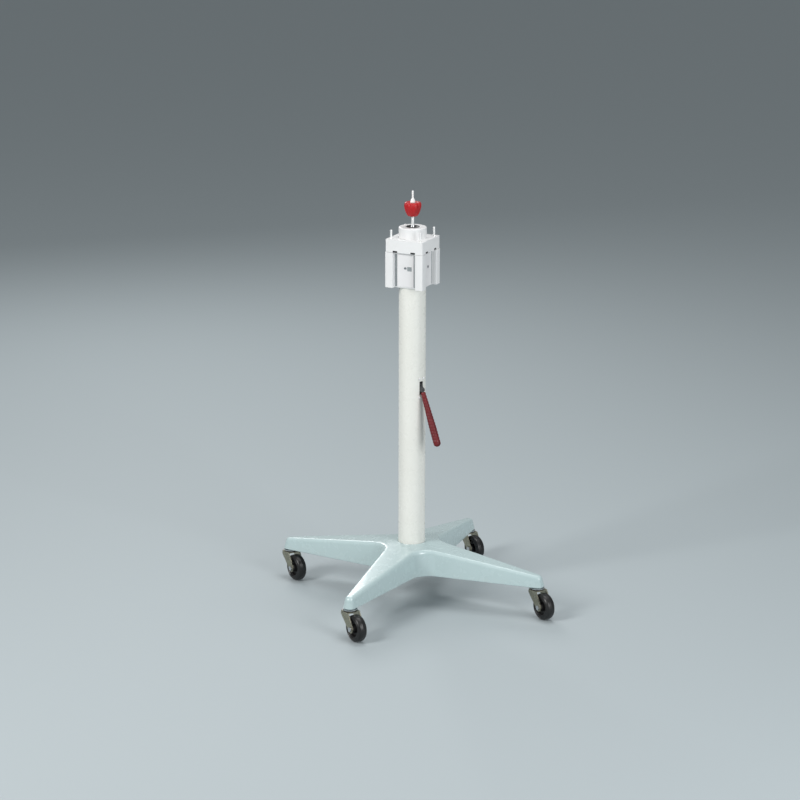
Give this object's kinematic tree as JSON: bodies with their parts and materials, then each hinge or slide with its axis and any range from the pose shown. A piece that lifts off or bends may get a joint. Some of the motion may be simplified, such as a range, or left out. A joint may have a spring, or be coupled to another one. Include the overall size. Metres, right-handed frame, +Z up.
{
  "type": "mobile stand of an intraoral x-ray unit",
  "caption": "Mobile floor stand for an intraoral x-ray arm: four-legged cast base on swivel casters, tubular column, square head with studs, lock spindle with red knob, hand lever.",
  "frame": {"origin": "on the floor, under the middle of the stand's box with all casters trailing one way as in the rest pose", "axes": "+Z up along the column; the legs lie along X and Y; the head's service face looks along -Y"},
  "size_m": [0.8676, 0.8497, 1.1783],
  "materials": {
    "base_enamel": "white enamel, glossy",
    "column_enamel": "cream-white powder coat, satin gloss",
    "head_paint": "white paint, satin",
    "cover_paint": "white paint, satin",
    "label_grey": "plain grey, matt",
    "black_rubber": "matt",
    "knob_red": "moulded, glossy",
    "grip_red": "ribbed, satin",
    "white_plastic": "moulded, glossy",
    "zinc": "yellowish zinc plate",
    "steel": "bright turned steel",
    "bright_plate": "bright plated, satin",
    "cast_iron": "oiled",
    "bronze": "sintered",
    "tyre_black": "glossy hard rubber",
    "core_black": "moulded nylon"
  },
  "bodies": {
    "stand": {"base_casting": "base_enamel", "column_tube": "column_enamel", "foot_plug": "cast_iron", "foot_bolt": "steel", "foot_washer": "steel", "head_body": "head_paint", "head_cap": "head_paint", "right_cover_plate": "cover_paint", "back_cover_plate": "cover_paint", "left_cover_plate": "cover_paint", "front_cover_plate": "cover_paint", "slot_plugs": "black_rubber", "cover_screws": "steel", "label_plate": "label_grey", "corner_studs": "bright_plate", "stud_nuts": "steel", "collar": "head_paint", "collar_grommet": "black_rubber", "top_bush": "steel", "guide_bush": "bronze", "head_set_screws": "steel", "lever_bracket": "cast_iron", "bracket_screws": "head_paint", "lever_pin": "steel", "return_spring": "steel", "right_caster_stem": "steel", "right_caster_ball_ring": "steel", "back_caster_stem": "steel", "back_caster_ball_ring": "steel", "left_caster_stem": "steel", "left_caster_ball_ring": "steel", "front_caster_stem": "steel", "front_caster_ball_ring": "steel"},
    "lever": {"lever_arm": "cast_iron", "lever_grip": "grip_red"},
    "spindle": {"spindle_rod": "bright_plate", "spindle_yoke": "cast_iron", "spring_collar": "cast_iron"},
    "knob": {"knob": "knob_red", "knob_nut": "white_plastic"},
    "right_caster": {"right_caster_fork": "zinc", "right_caster_axle": "steel", "right_caster_bush": "bronze"},
    "right_wheel": {"right_caster_wheel_core": "core_black", "right_caster_tyre": "tyre_black"},
    "back_caster": {"back_caster_fork": "zinc", "back_caster_axle": "steel", "back_caster_bush": "bronze"},
    "back_wheel": {"back_caster_wheel_core": "core_black", "back_caster_tyre": "tyre_black"},
    "left_caster": {"left_caster_fork": "zinc", "left_caster_axle": "steel", "left_caster_bush": "bronze"},
    "left_wheel": {"left_caster_wheel_core": "core_black", "left_caster_tyre": "tyre_black"},
    "front_caster": {"front_caster_fork": "zinc", "front_caster_axle": "steel", "front_caster_bush": "bronze"},
    "front_wheel": {"front_caster_wheel_core": "core_black", "front_caster_tyre": "tyre_black"}
  },
  "joints": [
    {"name": "lever_swing", "type": "hinge", "parent": "stand", "child": "lever", "pos_m": [0.0015, 0.00329, 0.63], "axis": [-0.3746, -0.9272, 0], "range_deg": [0, 40]},
    {"name": "spindle_slide", "type": "slide", "parent": "stand", "child": "spindle", "axis": [0, 0, 1], "range_m": [-0.0178, 0], "stiffness_N_per_m": 450, "springref_m": 0.03, "deforming": ["return_spring"]},
    {"name": "knob_turn", "type": "hinge", "parent": "spindle", "child": "knob", "pos_m": [-0.02261, 0.01303, 1.126], "axis": [0, 0, 1], "continuous": true},
    {"name": "right_caster_swivel", "type": "hinge", "parent": "stand", "child": "right_caster", "pos_m": [0.36739, 0.01303, 0.082], "axis": [0, 0, 1], "continuous": true},
    {"name": "right_wheel_spin", "type": "hinge", "parent": "right_caster", "child": "right_wheel", "pos_m": [0.39525, -0.00371, 0.0375], "axis": [0.515, 0.8572, 0], "continuous": true},
    {"name": "back_caster_swivel", "type": "hinge", "parent": "stand", "child": "back_caster", "pos_m": [-0.02261, 0.40303, 0.082], "axis": [0, 0, 1], "continuous": true},
    {"name": "back_wheel_spin", "type": "hinge", "parent": "back_caster", "child": "back_wheel", "pos_m": [0.00525, 0.38629, 0.0375], "axis": [0.515, 0.8572, 0], "continuous": true},
    {"name": "left_caster_swivel", "type": "hinge", "parent": "stand", "child": "left_caster", "pos_m": [-0.41261, 0.01303, 0.082], "axis": [0, 0, 1], "continuous": true},
    {"name": "left_wheel_spin", "type": "hinge", "parent": "left_caster", "child": "left_wheel", "pos_m": [-0.38475, -0.00371, 0.0375], "axis": [0.515, 0.8572, 0], "continuous": true},
    {"name": "front_caster_swivel", "type": "hinge", "parent": "stand", "child": "front_caster", "pos_m": [-0.02261, -0.37697, 0.082], "axis": [0, 0, 1], "continuous": true},
    {"name": "front_wheel_spin", "type": "hinge", "parent": "front_caster", "child": "front_wheel", "pos_m": [0.00525, -0.39371, 0.0375], "axis": [0.515, 0.8572, 0], "continuous": true}
  ],
  "couplings": [
    {"joint": "spindle_slide", "follows": "lever_swing", "m_per_rad": -0.025475}
  ]
}
